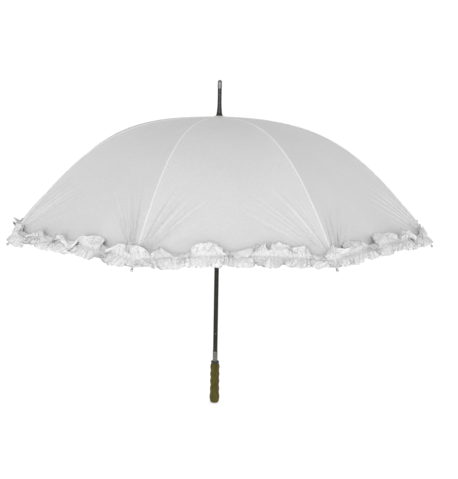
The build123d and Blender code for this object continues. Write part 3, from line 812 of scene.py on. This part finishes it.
def finish_cad():
    """Give every CAD piece that stays in sight its material."""
    bright = metal_material("bright_steel", (0.45, 0.45, 0.46), (0.70, 0.70, 0.71), 0.30, 1.0, (60, 60, 600))
    enamel = metal_material("rib_enamel", (0.30, 0.30, 0.31), (0.46, 0.46, 0.47), 0.42, 0.6, (200, 200, 200))
    nickel = metal_material("tip_nickel", (0.48, 0.48, 0.47), (0.74, 0.74, 0.72), 0.34, 0.9, (300, 300, 300))
    dark, light = (0.010, 0.010, 0.008), (0.030, 0.029, 0.022)
    shaft = metal_material("shaft_metal", dark, light, 0.42, 0.35, (220, 220, 12), speck=0.08, gloss=0.25)
    dark, light = (0.055, 0.055, 0.052), (0.15, 0.15, 0.14)
    # the collar's dense pale speckles are a painted reflection
    collar = metal_material("collar_metal", dark, light, 0.38, 0.9, (300, 300, 60), speck=0.8)
    cream = cloth_material("rosette_cream", (0.86, 0.85, 0.80), (0.80, 0.79, 0.73))
    finishes = {
        "shaft": shaft,
        "shaft_pins": bright,
        "handle": wood_material(),
        "handle_collar": collar,
        "rosette": cream,
        "ferrule": ferrule_material(),
        "crown": plastic_material("black_plastic"),
        "crown_wire": bright,
        "runner_wire": bright,
        "upper_catch": bright,
        "lower_catch": bright,
        "rib_inner": enamel,
        "rib_outer": enamel,
        "rib_tip": nickel,
        "stretcher": enamel,
    }
    finishes["runner"] = finishes["crown"]
    for node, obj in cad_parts.items():
        base = node.rsplit("_", 1)[0] if node[-1].isdigit() else node
        if base in finishes:
            obj.data.materials.clear()
            obj.data.materials.append(finishes[base])


# ---- Painted shade: dark ring on the handle's top, between handle and collar --------------------

RING_INNER = 0.0080                   # radii
RING_OUTER = 0.0124
RING_HEIGHT = 0.0050
RING_ROUND = 0.0012                   # radius of its outer edges
RING_SEGMENTS = 96


def ring_outline(bottom):
    """Closed outline of the ring, as (radius, height), with rounded outer edges."""
    turns = np.linspace(0, math.pi / 2, 7)
    radii = RING_OUTER - RING_ROUND * (1 - np.sin(turns))
    rises = RING_ROUND * (1 - np.cos(turns))
    low = np.stack([radii, bottom + rises], axis=-1)
    high = np.stack([radii, bottom + RING_HEIGHT - rises], axis=-1)[::-1]
    return np.concatenate([[(RING_INNER, bottom)], low, high, [(RING_INNER, bottom + RING_HEIGHT)]])


def make_handle_top_shade():
    """Turn the outline about the shaft's axis, standing on the handle's top; this black ring is painted
    shade of the handle's top.
    """
    outline = ring_outline(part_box("handle")[1].z)
    turns = np.arange(RING_SEGMENTS)[:, None] * 2 * math.pi / RING_SEGMENTS
    r, z = outline[None, :, 0], outline[None, :, 1]
    points = np.stack([r * np.cos(turns), r * np.sin(turns), z + 0 * turns], axis=-1)
    index = np.arange(points.shape[0] * points.shape[1]).reshape(points.shape[:2])
    beside = np.roll(index, -1, axis=0)
    quads = np.stack([index, beside, np.roll(beside, -1, axis=1), np.roll(index, -1, axis=1)], axis=-1)
    piece = make_object("handle_top_shade", points.reshape(-1, 3), quads.reshape(-1, 4))
    # black finish: painted shade of the handle's top
    piece.data.materials.append(plastic_material("handle_top_shade_black"))
    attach(piece, "stick")


# ---- Stage, light and camera ---------------------------------------------------------------------

FLOOR_SIZE = 60
FLOOR_GLOW = 0.46
STUDIO_LIGHT = 0.62                   # surround as the parasol is lit by it
STUDIO_SEEN = 1.05                    # and as the camera sees it
LIGHTS = (                            # name, place, diameter, watts
    ("key", (-1.0, -4.4, 0.9), 2.6, 56),
    ("fill", (3.4, -2.6, 0.9), 2.4, 7),
    ("rim", (0.8, 4.0, 2.4), 2.4, 6),
)
LIT_POINT = (0, 0, 0.6)


def make_stage():
    """Plain pale floor and an even pale surround."""
    bpy.ops.mesh.primitive_plane_add(size=FLOOR_SIZE, location=(0, 0, cad_low[2] - 0.0005))
    floor = bpy.context.object
    floor.name = "floor"
    m = Nodes("floor")
    grain = m.noise(m.place(), 3.0, 3.0)
    m.link(m.ramp(grain, (0.3, (0.90, 0.90, 0.90)), (0.7, (0.92, 0.92, 0.92))), "Base Color")
    m.set(Roughness=0.9, Emission_Color=(1, 1, 1, 1), Emission_Strength=FLOOR_GLOW)
    floor.data.materials.append(m.material)
    world = bpy.data.worlds.new("studio")
    bpy.context.scene.world = world
    world.use_nodes = True
    tree = world.node_tree
    background = tree.nodes["Background"]
    background.inputs[0].default_value = (1, 1, 1, 1)
    path = tree.nodes.new("ShaderNodeLightPath")
    strength = tree.nodes.new("ShaderNodeMix")
    strength.inputs[2].default_value = STUDIO_LIGHT
    strength.inputs[3].default_value = STUDIO_SEEN
    tree.links.new(path.outputs["Is Camera Ray"], strength.inputs[0])
    tree.links.new(strength.outputs[0], background.inputs[1])


def make_lights():
    """Soft studio lights, all aimed at the middle of the parasol."""
    for name, place, diameter, watts in LIGHTS:
        data = bpy.data.lights.new(name, "AREA")
        data.shape = "DISK"
        data.size = diameter
        data.energy = watts
        light = bpy.data.objects.new(name, data)
        bpy.context.scene.collection.objects.link(light)
        light.location = place
        direction = Vector(LIT_POINT) - light.location
        light.rotation_euler = direction.to_track_quat("-Z", "Y").to_euler()


CAMERA_DISTANCE = 4.0115 * RIM
CAMERA_TARGET_BELOW_APEX = 0.490 * RIM
CAMERA_ELEVATION = math.radians(8.15)
CAMERA_AZIMUTH = math.radians(-4.35)
CAMERA_ROLL = math.radians(1.0)
SENSOR_WIDTH = 36.0                   # millimetres along the picture's longer side
LENS = 63.0564                        # focal length in millimetres
SHIFT_X = 0.024008                    # of the picture's centre, in longer sides
SHIFT_Y = -0.040501


def make_camera():
    """Camera as the photo was taken: a little above the canopy's rim, looking slightly down."""
    data = bpy.data.cameras.new("camera")
    camera = bpy.data.objects.new("camera", data)
    bpy.context.scene.collection.objects.link(camera)
    target = Vector((0, 0, APEX - CAMERA_TARGET_BELOW_APEX))
    direction = Vector((
        math.sin(CAMERA_AZIMUTH) * math.cos(CAMERA_ELEVATION),
        -math.cos(CAMERA_AZIMUTH) * math.cos(CAMERA_ELEVATION),
        math.sin(CAMERA_ELEVATION),
    ))
    camera.location = target + direction * CAMERA_DISTANCE
    turn = (-direction).to_track_quat("-Z", "Y").to_matrix().to_4x4()
    camera.matrix_world = Matrix.Translation(camera.location) @ turn @ Matrix.Rotation(CAMERA_ROLL, 4, "Z")
    data.sensor_width = SENSOR_WIDTH
    data.lens = LENS
    data.shift_x = SHIFT_X
    data.shift_y = SHIFT_Y
    bpy.context.scene.camera = camera


make_canopy()
make_frill()
make_facings()
make_seams()
make_handle_top_shade()
finish_cad()
make_stage()
make_lights()
make_camera()
bpy.context.scene.view_settings.view_transform = "Standard"
